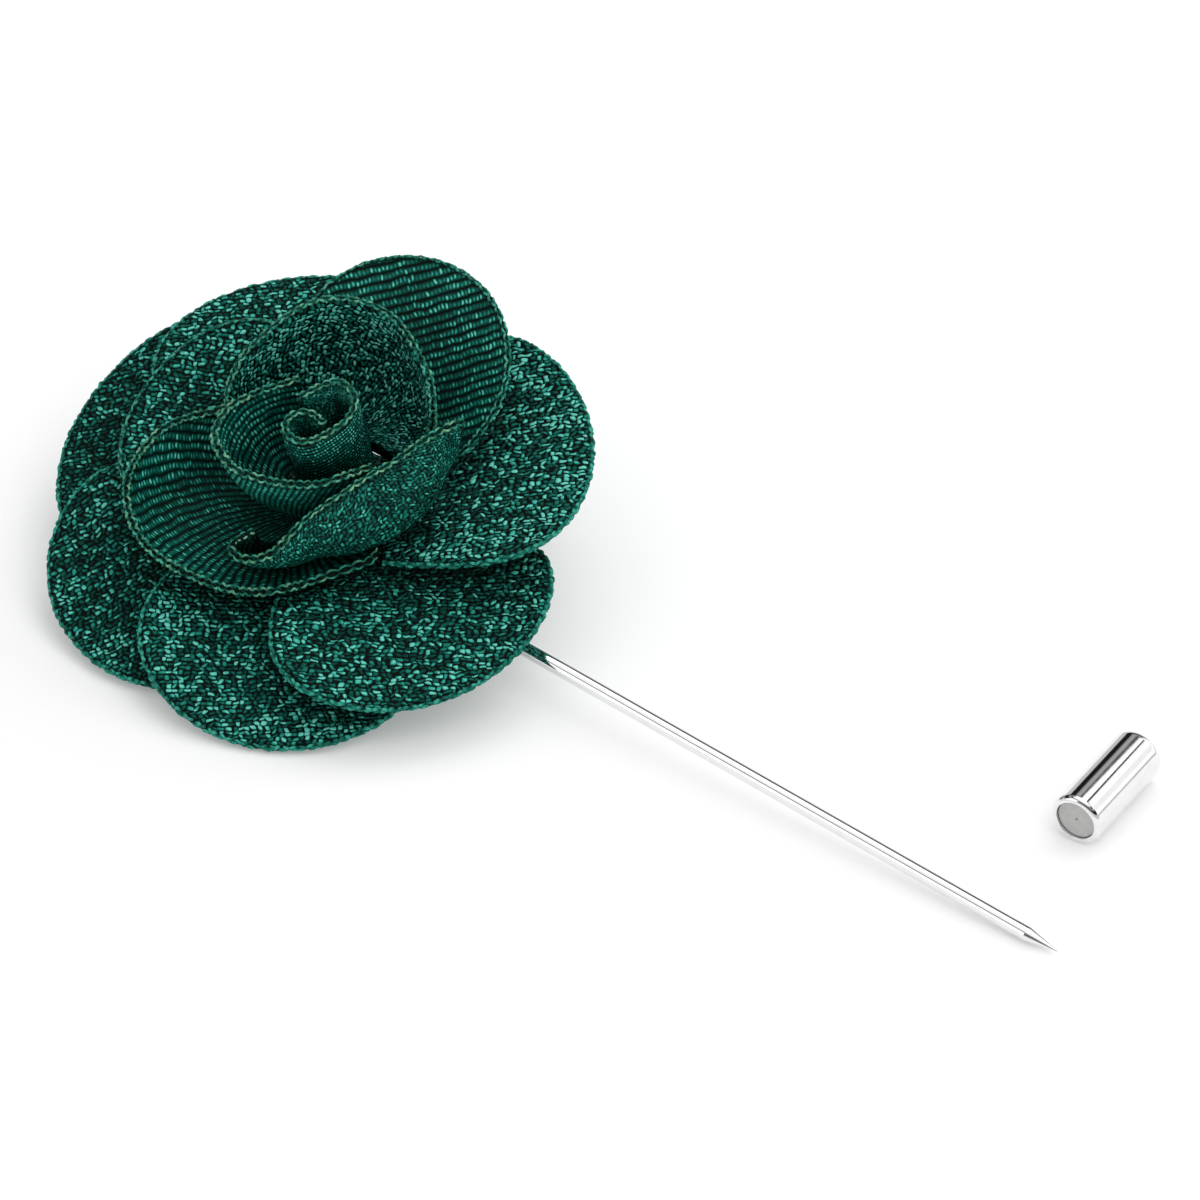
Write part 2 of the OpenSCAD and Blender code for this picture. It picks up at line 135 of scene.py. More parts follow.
# Wrapped petals: places along the rim as azimuth and shares of radius, height and bulge, and the foot's seat
CORE_R = BUD_R + PETAL_T / 2 + 0.9
WRAPPED_PETALS = {
    "cupped_petal": dict(
        rim=((187, 0.402, 0.584, -0.102), (206, 0.582, 0.623, -0.123), (225, 0.705, 0.578, -0.123),
             (246, 0.697, 0.474, -0.123), (277, 0.557, 0.357, -0.082), (320, 0.377, 0.279, -0.041),
             (335, 0.340, 0.260, -0.041)),
        foot_r=CORE_R + 0.2, foot_h=level(2) + 0.2, foot_az=(226, 318), belly_h=0.3),
    "folded_petal": dict(
        rim=((-90, 0.405, 0.597, 0.000), (-94, 0.455, 0.582, -0.010), (-95, 0.491, 0.558, -0.020),
             (-90, 0.501, 0.534, -0.020), (-83, 0.473, 0.534, 0.000), (-77, 0.428, 0.558, 0.040),
             (-69, 0.338, 0.612, 0.110), (-42, 0.258, 0.701, 0.213), (8, 0.291, 0.753, 0.205),
             (27, 0.393, 0.799, 0.061), (32, 0.492, 0.838, -0.061)),
        foot_r=CORE_R + PETAL_T + PETAL_GAP + 0.3, foot_h=level(3) + 0.4, foot_az=(-82, 15), belly_h=0),
    "hood_petal": dict(
        rim=((197, 0.342, 0.590, -0.054), (191, 0.357, 0.812, -0.026), (167, 0.358, 0.942, 0.020),
             (127, 0.418, 1.000, 0.020), (96, 0.434, 0.942, 0.020), (63, 0.389, 0.844, 0.020),
             (44, 0.365, 0.714, 0.000), (38, 0.324, 0.519, 0.000)),
        foot_r=CORE_R + 0.3, foot_h=level(3) + 0.4, foot_az=(176, 55), belly_h=0.7),
    "inner_cup": dict(
        rim=((150, 0.201, 0.818, -0.020), (189, 0.268, 0.838, -0.020), (205, 0.330, 0.844, -0.020),
             (222, 0.366, 0.829, -0.020), (241, 0.341, 0.792, -0.020), (258, 0.286, 0.765, -0.020),
             (279, 0.238, 0.740, -0.020), (304, 0.212, 0.726, -0.016), (334, 0.198, 0.714, -0.012),
             (362, 0.193, 0.617, 0.000)),
        foot_r=CORE_R, foot_h=level(3) + 0.2, foot_az=(205, 340), belly_h=2),
}
# The course of the bud's strip from its inner end, seen from above: azimuth and share of BUD_R
BUD_PATH = ((351, 0.270), (322, 0.227), (218, 0.140), (199, 0.437), (212, 0.737), (227, 0.950), (243, 1.050),
            (261, 1.065), (280, 1.020), (300, 0.877), (335, 0.730), (9, 0.793), (41, 0.967), (65, 1.080),
            (87, 1.110), (104, 1.060), (125, 0.850), (150, 0.740), (177, 0.800))

# Weaves: the height of the face's own relief, the depth of the yarns in the material, and the numbers of the
# pattern, which weave_pattern and rib_pattern explain. Lengths are in millimetres.
WEAVES = {
    "knotty": dict(relief=0.11, depth=0.24, weave=((0.58, 0.42), 0.34, 0.26, 0.02, 0.62, 0.5)),
    "plain": dict(relief=0.08, depth=0.24, weave=((0.54, 0.40), 0.26, 0.14, 0.02, 0.62, 0.35)),
    "ribbed": dict(relief=0.07, depth=0.12, ribs=(0.78, 0.36, 0.10, 0.42, 1.05, 0.3)),
    "faint": dict(relief=0.04, depth=0.09, ribs=(0.75, 0.33, 0.25, 0.38, 1.05, 0.4)),
    "narrow": dict(relief=0.02, depth=0.07, ribs=(0.46, 0.26, 0.30, 0.42, 0.65, 0.2)),
    "ticked": dict(relief=0.03, depth=0.08, ribs=(0.42, 0.27, 0.15, 0.36, 1.15, 0.15)),
    "fine": dict(relief=0.03, depth=0.07, weave=((0.34, 0.27), 0.20, 0.10, 0.14, 0.45, 0.2)),
    "knit": dict(relief=0.04, depth=0.10, weave=((0.36, 0.28), 0.24, 0.10, 0.14, 0.50, 0.5)),
}
# Each petal's weave on its upper and its under face, the direction of the rows on each, and how light the
# piece is as a share of its weaves' own tone, which is painted light and shade over the whole piece. The
# direction is measured from an open petal's centre line, and from straight up a wrapped one's cloth.
PETAL_CLOTHS = {
    "outer_petal_right": ("knotty", "plain", -9, 9, 0.96),
    "outer_petal_front_right": ("knotty", "plain", 58, 9, 0.84),
    "outer_petal_front": ("plain", "plain", 104, 9, 0.95),
    "outer_petal_left": ("plain", "plain", 5, 9, 0.76),
    "outer_petal_back_left": ("plain", "plain", 40, 9, 0.62),
    "outer_petal_back": ("plain", "plain", 80, 9, 0.80),
    "second_petal_back": ("ribbed", "plain", -50, 9, 0.92),
    "second_petal_left": ("plain", "plain", 30, 9, 0.80),
    "cupped_petal": ("faint", "plain", 30, 9, 0.90),
    "folded_petal": ("faint", "knit", 90, 0, 0.66),
    "hood_petal": ("plain", "plain", 45, 20, 1.16),
    "inner_cup": ("faint", "narrow", 90, 30, 1.25),
    "bud": ("ticked", "fine", 8, -8, 1.10),
}
# Rims: how far the chain on the edge leans out over it in degrees, how far it stands off the middle of the
# cloth, its width, the thickness of its yarn and how pale it is
CORD = (78, 0.26, 0.56, 0.30, 0.0)
CORDS = {
    "second_petal_back": (70, 0.38, 0.68, 0.20, 0.20),
    "second_petal_left": (70, 0.38, 0.68, 0.20, 0.20),
    "cupped_petal": (66, 0.40, 0.78, 0.20, 0.60),
    "folded_petal": (108, 0.40, 0.80, 0.20, 0.65),
    "hood_petal": (66, 0.38, 0.76, 0.20, 0.40),
    "inner_cup": (92, 0.40, 0.80, 0.20, 0.65),
    "bud": (92, 0.38, 0.74, 0.20, 0.60),
}
# Length of one link of the chain, the points of a yarn along it, and the sides of a yarn
LINK = 0.67
LINK_POINTS = 9
THREAD_SIDES = 6
# Distance between the points of the cloth's net, and the gap between the parts of its map for baking
STEP = 0.22
MAP_GAP = 0.4


def unit(v):
    """Rows of v at length 1."""
    return v / np.maximum(np.linalg.norm(v, axis=-1, keepdims=True), 1e-12)


def mix(a, b, f):
    return a + (b - a) * f


def around(azimuth):
    """Unit vector at an azimuth, as x and y."""
    a = np.radians(azimuth)
    return np.stack([np.cos(a), np.sin(a)], axis=-1)


def pin_axis():
    """The pin's line: the point on it under the flower's axis, in millimetres, and its direction."""
    mount = next(m for m in frame["record"]["mounts"] if m["name"] == "pin")
    axis = unit(np.array(mount["axis"], float))
    middle = np.array(mount["pos_m"], float) / MM
    length = mount["dims"]["length_mm"]
    return middle - axis * (FOOT_R + POST_OUT + length / 2), axis


PIN_START, PIN_AXIS = pin_axis()
FLOWER_AT = PIN_START + np.array([0, FLOWER_SIDE, WIRE_DROP * math.cos(math.radians(FLOWER_ROLL))])
FLOWER_TURN = np.array(Matrix.Rotation(math.radians(FLOWER_SLOPE), 3, "Y")
                       @ Matrix.Rotation(math.radians(FLOWER_ROLL), 3, "X"))


def placed(points):
    """Points of the flower's frame in the part's frame."""
    return points @ FLOWER_TURN.T + FLOWER_AT


def distances(path):
    """Distance along a path to each of its points."""
    return np.concatenate([[0], np.cumsum(np.linalg.norm(np.diff(path, axis=0), axis=1))])


def bow(a, b, c, f):
    """Quadratic curve from a to c, pulled towards b."""
    f = np.asarray(f)[..., None]
    return (1 - f) ** 2 * a + 2 * f * (1 - f) * b + f ** 2 * c


def bow_slope(a, b, c, f):
    f = np.asarray(f)[..., None]
    return 2 * (1 - f) * (b - a) + 2 * f * (c - b)


class Form:
    """A flat cloth and the surface that it is bent to."""

    def rim(self):
        """The part of the edge that carries a chain of stitches."""
        return self.outline()

    def rows(self, flat):
        """Flat places as the weave counts them."""
        return flat


class OpenPetal(Form):
    """A round petal on a neck. Its flat cloth has x along the centre line and y to the left of it."""

    def __init__(self, row):
        self.p = dict(zip(OPEN_COLUMNS, row))
        p = self.p
        h = level(p["level"])
        self.root = np.array([p["root_r"], h])
        self.mid = np.array([p["mid_r"] * FLOWER_R, h + p["mid_h"] * FLOWER_H])
        self.tip = np.array([p["tip_r"] * FLOWER_R, h + p["tip_h"] * FLOWER_H])
        self.f = np.linspace(0, 1, 201)
        self.s = distances(bow(self.root, self.mid, self.tip, self.f))

    def half_width(self, f, neck, wide):
        grown = mix(neck, wide, np.sin(np.pi / 2 * np.minimum(f / BELLY_PLACE, 1)))
        closed = wide * np.sqrt(np.clip(1 - ((f - BELLY_PLACE) / (1 - BELLY_PLACE)) ** 2, 0, 1))
        return FLOWER_R * np.where(f < BELLY_PLACE, grown, closed)

    def outline(self):
        """The stitched edge of the flat cloth, from the root round the tip and back to the root."""
        f = np.sin(np.linspace(0, np.pi / 2, 90))
        s = np.interp(f, self.f, self.s)
        right = np.stack([s, -self.half_width(f, self.p["neck"], self.p["right"])], axis=1)
        left = np.stack([s, self.half_width(f, COVERED_NECK, self.p["left"])], axis=1)
        return np.concatenate([right, left[-2::-1]])

    def surface(self, flat):
        """Places of points of the flat cloth in the flower's frame."""
        p = self.p
        f = np.interp(flat[:, 0], self.s, self.f)
        over = flat[:, 0] - np.clip(flat[:, 0], 0, self.s[-1])
        b = flat[:, 1]
        centre = bow(self.root, self.mid, self.tip, f)
        slope = unit(bow_slope(self.root, self.mid, self.tip, f))
        centre = centre + slope * over[:, None]
        half = (p["right"] + p["left"]) / 2 * FLOWER_R
        bend = np.radians(mix(CUP_ROOT, p["cup"], f)) / half
        x = np.sin(b * bend) / bend
        y = (1 - np.cos(b * bend)) / bend
        roll = np.radians(mix(p["roll_root"], p["roll_tip"], f))
        across = x * np.cos(roll) - y * np.sin(roll)
        above = x * np.sin(roll) + y * np.cos(roll)
        r = centre[:, 0] - slope[:, 1] * above
        h = centre[:, 1] + slope[:, 0] * above
        out = around(p["azimuth"])
        side = np.array([-out[1], out[0]])
        return np.column_stack([r[:, None] * out + across[:, None] * side, h])


def spline(rows, x):
    """Smooth curve through rows, at x rows along it."""
    rows = np.asarray(rows, float)
    padded = np.vstack([2 * rows[0] - rows[1], rows, 2 * rows[-1] - rows[-2]])
    i = np.clip(np.floor(x).astype(int), 0, len(rows) - 2)
    f = (x - i)[:, None]
    p0, p1, p2, p3 = (padded[i + k] for k in range(4))
    return 0.5 * (2 * p1 + (p2 - p0) * f + (2 * p0 - 5 * p1 + 4 * p2 - p3) * f ** 2
                  + (3 * p1 - p0 - 3 * p2 + p3) * f ** 3)


class WrappedPetal(Form):
    """A petal wrapped about the core. Its flat cloth is a fan between the foot's arc and the rim."""

    COLUMNS = 241
    ROWS = 81

    def __init__(self, rim, foot_r, foot_h, foot_az, belly_h):
        rows = [(*(FLOWER_R * r * around(az)), FLOWER_H * h, FLOWER_R * bulge) for az, r, h, bulge in rim]
        self.last = len(rim) - 1
        x = np.linspace(0, self.last, self.COLUMNS)
        at = spline(rows, x)
        top = max(FLOWER_H * row[2] for row in rim)
        foot = np.column_stack([foot_r * around(mix(foot_az[0], foot_az[1], x / self.last)),
                                np.full(len(x), foot_h)])
        out = unit(at[:, :2])
        lift = np.maximum(0, (at[:, 2] - foot_h) / (top - foot_h))
        pull = np.column_stack([at[:, :2] + out * at[:, 3:4], foot_h + belly_h * lift])
        self.net = bow(foot[:, None], pull[:, None], at[:, None, :3], np.linspace(0, 1, self.ROWS)[None])
        self.net[..., :2] += CORE
        steps = np.linalg.norm(np.diff(self.net, axis=1), axis=2)
        self.height = np.concatenate([np.zeros((self.COLUMNS, 1)), np.cumsum(steps, axis=1)], axis=1)
        foot_steps = np.linalg.norm(np.diff(self.net[:, 0], axis=0), axis=1)
        rim_steps = np.linalg.norm(np.diff(self.net[:, -1], axis=0), axis=1)
        tall = self.height[:, -1].mean()
        self.fan = max(0.3, (rim_steps.sum() - foot_steps.sum()) / tall)
        self.inner = foot_steps.sum() / self.fan
        share = np.concatenate([[0], np.cumsum(rim_steps)]) / rim_steps.sum()
        self.angle = (share - 0.5) * self.fan

    def flat(self, column, height):
        angle = np.interp(column, np.arange(self.COLUMNS), self.angle)
        r = self.inner + height
        return np.stack([r * np.cos(angle), r * np.sin(angle)], axis=-1)

    def outline(self):
        """The stitched edge of the flat cloth: up one end, along the rim, and down the other end."""
        rise = np.linspace(0, 1, 30)
        up = self.flat(np.zeros(30), rise * self.height[0, -1])
        down = self.flat(np.full(30, self.COLUMNS - 1), rise[::-1] * self.height[-1, -1])
        return np.concatenate([up[:-1], self.rim(), down[1:]])

    def rim(self):
        return self.flat(np.arange(self.COLUMNS), self.height[:, -1])

    def rows(self, flat):
        r = np.hypot(flat[:, 0], flat[:, 1])
        middle_r = self.inner + 0.75 * self.height[:, -1].mean()
        return np.column_stack([r, np.arctan2(flat[:, 1], flat[:, 0]) * middle_r])

    def surface(self, flat):
        """Places of points of the flat cloth in the flower's frame."""
        angle = np.arctan2(flat[:, 1], flat[:, 0])
        tall = np.hypot(flat[:, 0], flat[:, 1]) - self.inner
        over_angle = angle - np.clip(angle, self.angle[0], self.angle[-1])
        column = np.interp(angle, self.angle, np.arange(self.COLUMNS))
        i = np.minimum(column.astype(int), self.COLUMNS - 2)
        g = (column - i)[:, None]
        heights = mix(self.height[i], self.height[i + 1], g)
        k = np.clip((heights < tall[:, None]).sum(axis=1) - 1, 0, self.ROWS - 2)
        n = np.arange(len(k))
        f = (tall - heights[n, k]) / np.maximum(heights[n, k + 1] - heights[n, k], 1e-9)
        f = f[:, None]
        low = mix(self.net[i, k], self.net[i + 1, k], g)
        high = mix(self.net[i, k + 1], self.net[i + 1, k + 1], g)
        point = mix(low, high, f)
        side = unit(self.net[i + 1, k] - self.net[i, k])
        return point + side * (over_angle * (tall + self.inner))[:, None]


class Strip(Form):
    """The bud's strip of cloth, rolled up on itself. Its flat cloth has x along the strip and y up it."""

    def __init__(self):
        self.f = np.linspace(0, 1, 600)
        rows = [BUD_R * share * around(azimuth) for azimuth, share in BUD_PATH]
        self.line = spline(rows, self.f * (len(rows) - 1))
        self.s = distances(self.line)
        self.base = level(1)

    def top(self, f):
        return BUD_H - BUD_DIP * (1 - f)

    def rim(self):
        f = np.linspace(0, 1, 260)
        return np.stack([np.interp(f, self.f, self.s), self.top(f) - self.base], axis=1)

    def outline(self):
        rise = np.linspace(0, 1, 30)
        up = np.stack([np.zeros(30), rise * (self.top(0) - self.base)], axis=1)
        down = np.stack([np.full(30, self.s[-1]), rise[::-1] * (self.top(1) - self.base)], axis=1)
        return np.concatenate([up[:-1], self.rim(), down[1:]])

    def surface(self, flat):
        """Places of points of the flat cloth in the flower's frame."""
        s = np.clip(flat[:, 0], 0, self.s[-1])
        xy = np.column_stack([np.interp(s, self.s, self.line[:, k]) for k in range(2)])
        ends = unit(np.stack([self.line[1] - self.line[0], self.line[-1] - self.line[-2]]))
        over = (flat[:, 0] - s)[:, None]
        xy = xy + over * np.where(over < 0, ends[0], ends[1])
        up = flat[:, 1] / (self.top(np.interp(s, self.s, self.f)) - self.base)
        return np.column_stack([xy * mix(BUD_FOOT, 1, up)[:, None] + CORE, flat[:, 1] + self.base])


def normals(form, flat):
    """Unit normals of a form's surface, out of its upper face."""
    e = 0.05
    along = form.surface(flat + [e, 0]) - form.surface(flat - [e, 0])
    across = form.surface(flat + [0, e]) - form.surface(flat - [0, e])
    return unit(np.cross(along, across))


def inside(points, loop):
    """Which points lie inside a closed loop."""
    hit = np.zeros(len(points), bool)
    x, y = points[:, 0], points[:, 1]
    for (ax, ay), (bx, by) in zip(loop, np.roll(loop, -1, axis=0)):
        if ay == by:
            continue
        crosses = (ay > y) != (by > y)
        hit ^= crosses & (x < (bx - ax) * (y - ay) / (by - ay) + ax)
    return hit


def nearest(points, loop):
    """The nearest points on a closed loop."""
    a, b = loop, np.roll(loop, -1, axis=0)
    ab = b - a
    best = np.full(len(points), np.inf)
    found = np.zeros_like(points)
    for start, step in zip(a, ab):
        t = np.clip((points - start) @ step / max(step @ step, 1e-12), 0, 1)
        q = start + t[:, None] * step
        d = np.linalg.norm(points - q, axis=1)
        closer = d < best
        best[closer] = d[closer]
        found[closer] = q[closer]
    return found, best


def chance(*numbers):
    """A fixed random number from 0 to 1 for each set of whole numbers."""
    n = np.zeros_like(np.asarray(numbers[0]), dtype=np.uint64)
    for k, part in enumerate(numbers):
        n = n * np.uint64(1000003) + (np.asarray(part).astype(np.int64) + 50000).astype(np.uint64)
        n ^= n >> np.uint64(13)
        n *= np.uint64(0x9E3779B97F4A7C15 % (1 << 63))
        n ^= n >> np.uint64(29)
    return (n % np.uint64(65536)).astype(float) / 65536


def ripple(x, y, seed):
    """Smooth wandering from -1 to 1 over a few units of x and y."""
    i, j = np.floor(x).astype(int), np.floor(y).astype(int)
    fx, fy = x - i, y - j
    sx, sy = fx * fx * (3 - 2 * fx), fy * fy * (3 - 2 * fy)
    low = mix(chance(i, j, seed), chance(i + 1, j, seed), sx)
    high = mix(chance(i, j + 1, seed), chance(i + 1, j + 1, seed), sx)
    return 2 * mix(low, high, sy) - 1


def face_relief(yarns, weave_name, seed):
    """Height of the cloth's face, from -1 to 1: ribs, or a soft unevenness."""
    weave = WEAVES[weave_name]
    x, y = yarns[:, 0], yarns[:, 1]
    bumps = 0.6 * ripple(x / 0.9, y / 0.9, seed) + 0.4 * ripple(x / 0.5, y / 0.5, seed + 3)
    if "ribs" not in weave:
        return bumps
    return 0.8 * np.cos(2 * np.pi * y / weave["ribs"][0]) + 0.2 * bumps


def solid_faces():
    """The points and faces of all the solids, in metres."""
    points, faces = [], []
    for node in frame["nodes"].values():
        start = len(points)
        points += [tuple(v.co) for v in node.data.vertices]
        faces += [[start + i for i in face.vertices] for face in node.data.polygons]
    return points, faces


def openness(points, ups, faces, seed):
    """How open each point of a cloth is to the light, from 0 to 1, by rays that other pieces may stop. The
    cloth's material paints shade into its colour by it.
    """
    tried = np.flatnonzero(chance(np.arange(len(points)), seed) < RAY_SHARE)
    spin = [2 * chance(tried[:, None], np.arange(RAYS)[None] + 40 * k, seed) - 1 for k in range(3)]
    ways = unit(1.02 * ups[tried, None] + unit(np.stack(spin, axis=-1)))
    starts = points[tried] + ups[tried] * RAY_START
    free = np.zeros(len(tried))
    for k, (start, fan) in enumerate(zip((starts * MM).tolist(), ways.tolist())):
        for way in fan:
            hit = SOLIDS.ray_cast(start, way, RAY_REACH * MM)[3]
            free[k] += 1 if hit is None else hit / (RAY_REACH * MM)

    def shared(values):
        each = values[faces].sum(axis=1)
        return sum(np.bincount(faces[:, k], each, len(points)) for k in range(4))

    share, weight = np.zeros(len(points)), np.zeros(len(points))
    share[tried], weight[tried] = free / RAYS, 1
    for _ in range(RAY_SMOOTHING):
        total, seen = shared(share * weight), shared(weight)
        share, weight = total / np.maximum(seen, 1e-9), seen / 16
    return share


def cloth_mesh(form, weaves, rows_at, tone, seed):
    """Both woven faces of a petal as one closed mesh, meeting in a round edge.

    Gives its points, quads, values at the points, yarn places and layout of the corners, and how many quads
    are upper. The values are nearness to the edge, the piece's tone and openness to the light; from all three
    the material paints light and shade into the cloth's colour.
    """
    edge = form.outline()
    low, high = edge.min(axis=0) - STEP, edge.max(axis=0) + STEP
    count = np.ceil((high - low) / STEP).astype(int) + 1
    x, y = (low[k] + STEP * np.arange(count[k]) for k in range(2))
    flat = np.stack(np.meshgrid(x, y, indexing="ij"), axis=-1).reshape(-1, 2)
    is_in = inside(flat, edge)
    on_edge, far = nearest(flat, edge)
    usable = is_in | (far < 0.7 * STEP)
    n = np.arange(len(flat)).reshape(count)
    quads = np.stack([n[:-1, :-1], n[1:, :-1], n[1:, 1:], n[:-1, 1:]], axis=-1).reshape(-1, 4)
    quads = quads[usable[quads].all(axis=1) & (is_in[quads].sum(axis=1) > 1)]
    sides = np.sort(np.stack([quads, np.roll(quads, -1, axis=1)], axis=-1).reshape(-1, 2), axis=1)
    sides, uses = np.unique(sides, axis=0, return_counts=True)
    border = np.zeros(len(flat), bool)
    border[sides[uses == 1]] = True
    flat[border], far[border] = on_edge[border], 0
    used, quads = np.unique(quads, return_inverse=True)
    quads = quads.reshape(-1, 4)
    flat, far, border = flat[used], far[used], border[used]
    swell = np.sqrt(np.clip(1 - (1 - np.minimum(far / EDGE_ROUND, 1)) ** 2, 0, 1))
    middle, up = form.surface(flat), normals(form, flat)
    rows = form.rows(flat)
    points, yarns, ups = [], [], []
    for k, (side, weave_name, turn) in enumerate(zip((1, -1), weaves, rows_at)):
        a = math.radians(turn)
        yarn = rows @ np.array([[math.cos(a), -math.sin(a)], [math.sin(a), math.cos(a)]])
        relief = WEAVES[weave_name]["relief"] * face_relief(yarn, weave_name, seed + 50 * k)
        points.append(placed(middle + up * ((FACE_OFF + relief) * swell * side)[:, None]))
        ups.append(side * up @ FLOWER_TURN.T)
        yarns.append(yarn)
    under = np.cumsum(~border) - 1 + len(flat)
    under[border] = np.arange(len(flat))[border]

    def both(upper, lower):
        """Rows of the upper face's points, then of those that only the under face has."""
        return np.concatenate([upper, lower[~border]])

    def corners(upper, lower):
        """Rows of the corners of both faces' quads."""
        return np.concatenate([upper[quads], lower[quads][:, ::-1]]).reshape(-1, 2)

    points = both(*points)
    near = np.clip(1 - both(far, far) / RIM_SHADE_WIDTH, 0, 1)
    faces = np.concatenate([quads, under[quads][:, ::-1]])
    light = openness(points, both(*ups), faces, seed)
    values = np.column_stack([near, np.full(len(near), tone), light, np.ones(len(near))])
    size = flat.max(axis=0) - flat.min(axis=0)
    spread = flat - flat.min(axis=0)
    if size[0] > size[1]:
        spread, size = spread[:, ::-1], size[::-1]
    whole = max(size[1], 2 * size[0] + MAP_GAP) + 2 * MAP_GAP
    layout = (corners(spread, spread + [size[0] + MAP_GAP, 0]) + MAP_GAP) / whole
    return points, faces, values, corners(*yarns), layout, len(quads)


def add_object(name, data):
    obj = bpy.data.objects.new(name, data)
    bpy.context.scene.collection.objects.link(obj)
    return obj


def make_mesh(name, points, faces, values=None, yarns=None, layout=None, smooth=True):
    """A mesh object from arrays in millimetres, with its values, yarn places and a flat map for baking."""
    mesh = bpy.data.meshes.new(name)
    faces = np.asarray(faces)
    sides = faces.shape[1]
    mesh.vertices.add(len(points))
    mesh.vertices.foreach_set("co", (np.asarray(points) * MM).astype(np.float32).ravel())
    mesh.loops.add(faces.size)
    mesh.loops.foreach_set("vertex_index", faces.astype(np.int32).ravel())
    mesh.polygons.add(len(faces))
    mesh.polygons.foreach_set("loop_start", np.arange(0, faces.size, sides, dtype=np.int32))
    mesh.polygons.foreach_set("loop_total", np.full(len(faces), sides, dtype=np.int32))
    mesh.polygons.foreach_set("use_smooth", np.full(len(faces), smooth))
    mesh.update(calc_edges=True)
    if values is not None:
        layer = mesh.color_attributes.new("weave", "FLOAT_COLOR", "POINT")
        layer.data.foreach_set("color", np.asarray(values, np.float32).ravel())
    for map_name, places in (("yarns", yarns), ("OFBake", layout)):
        if places is not None:
            places = np.asarray(places, np.float32)
            at_corners = places if len(places) == faces.size else places[faces.ravel()]
            mesh.uv_layers.new(name=map_name).data.foreach_set("uv", at_corners.ravel())
    mesh.validate()
    return add_object(name, mesh)


def thread(path, up, radius, values):
    """A thread about a path: points, faces, values and a map of each face's corners.

    up, radius and values have a row for each point of the path.
    """
    sides = THREAD_SIDES
    ahead = np.roll(path, -1, axis=0) - np.roll(path, 1, axis=0)
    ahead[0], ahead[-1] = path[1] - path[0], path[-1] - path[-2]
    side = unit(np.cross(ahead, up))
    up = unit(np.cross(side, ahead))
    a = np.linspace(0, 2 * np.pi, sides, endpoint=False)
    ring = np.cos(a)[None, :, None] * side[:, None] + np.sin(a)[None, :, None] * up[:, None]
    points = (path[:, None] + ring * radius[:, None, None]).reshape(-1, 3)
    rows = np.arange(len(path) - 1)[:, None]
    k = np.arange(sides)[None]
    corners = [(rows, k), (rows, k + 1), (rows + 1, k + 1), (rows + 1, k)]
    faces = np.stack([r * sides + c % sides for r, c in corners], axis=-1).reshape(-1, 4)
    places = [np.stack(np.broadcast_arrays(r / len(rows), c / sides), axis=-1) for r, c in corners]
    return points, faces, np.repeat(values, sides, axis=0), np.stack(places, axis=2).reshape(-1, 2)


def joined(threads):
    """Threads as one mesh, with the map of each in a tile of its own for baking."""
    across = math.ceil(math.sqrt(len(threads)))
    starts = np.cumsum([0] + [len(part[0]) for part in threads[:-1]])
    faces = [part[1] + start for part, start in zip(threads, starts)]
    tiles = [(np.array([k % across, k // across]) + 0.04 + 0.92 * part[3]) / across
             for k, part in enumerate(threads)]
    points, values = ([part[k] for part in threads] for k in (0, 2))
    return (np.concatenate(group) for group in (points, faces, values, tiles))


def rim_frame(form, edge, step):
    """Even points along an edge of a form, with the directions out of the cloth and up from it."""
    s = distances(edge)
    at = np.arange(step / 2, s[-1], step)
    edge = np.column_stack([np.interp(at, s, edge[:, k]) for k in range(2)])
    ahead = unit(np.gradient(edge, axis=0))
    out = np.column_stack([ahead[:, 1], -ahead[:, 0]])
    whole = form.outline()
    if inside(edge + 0.2 * out, whole).mean() > 0.5:
        out = -out
    inner = edge - out * EDGE_ROUND
    place = form.surface(inner)
    outward = unit(form.surface(inner + out * 0.05) - place)
    return placed(place), outward @ FLOWER_TURN.T, normals(form, inner) @ FLOWER_TURN.T


def chain(form, edge, seed, lean, rise, wide, yarn, pale):
    """Open links along an edge: two yarns that meet at each link's ends, leaning out by lean degrees."""
    per = LINK_POINTS
    place, outward, up = rim_frame(form, edge, LINK / per)
    lean = math.radians(lean)
    top = up * math.cos(lean) + outward * math.sin(lean)
    across = outward * math.cos(lean) - up * math.sin(lean)
    middle = place + top * rise + outward * 0.06
    n = np.arange(len(place))
    line = n * 0.0
    turn = np.pi * (n / per + 0.35 * ripple(n / (2.2 * per), line, seed))
    loose = 1 + 0.18 * ripple(n / (1.3 * per), line, seed + 5)
    thick = yarn / 2
    apart = (0.5 * wide - thick) * loose * (0.30 + 0.70 * np.abs(np.sin(turn)) ** 0.8)
    threads = []
    for k, way in enumerate((1, -1)):
        path = middle + (way * apart)[:, None] * across
        lift = 0.5 * thick * (way * np.cos(turn) + ripple(n / 4.0, line, seed + 7 + k))
        path = path + lift[:, None] * top
        radius = thick * (1.0 + 0.22 * ripple(n / 5.0, line, seed + 9 * k))
        # Painted highlight and shade: each yarn is lighter where it rises and spreads in its link, and darker
        # where the two meet at the link's ends
        bright = 0.48 + 0.34 * np.abs(np.sin(turn)) + 0.18 * way * np.cos(turn)
        luck = 0.5 + 0.5 * ripple(n / 6.0, line, seed + 20 + k)
        values = np.column_stack([bright, luck, pale * chance(n // per, seed + k), np.ones(len(n))])
        threads.append(thread(path, top, radius, values))
    return threads


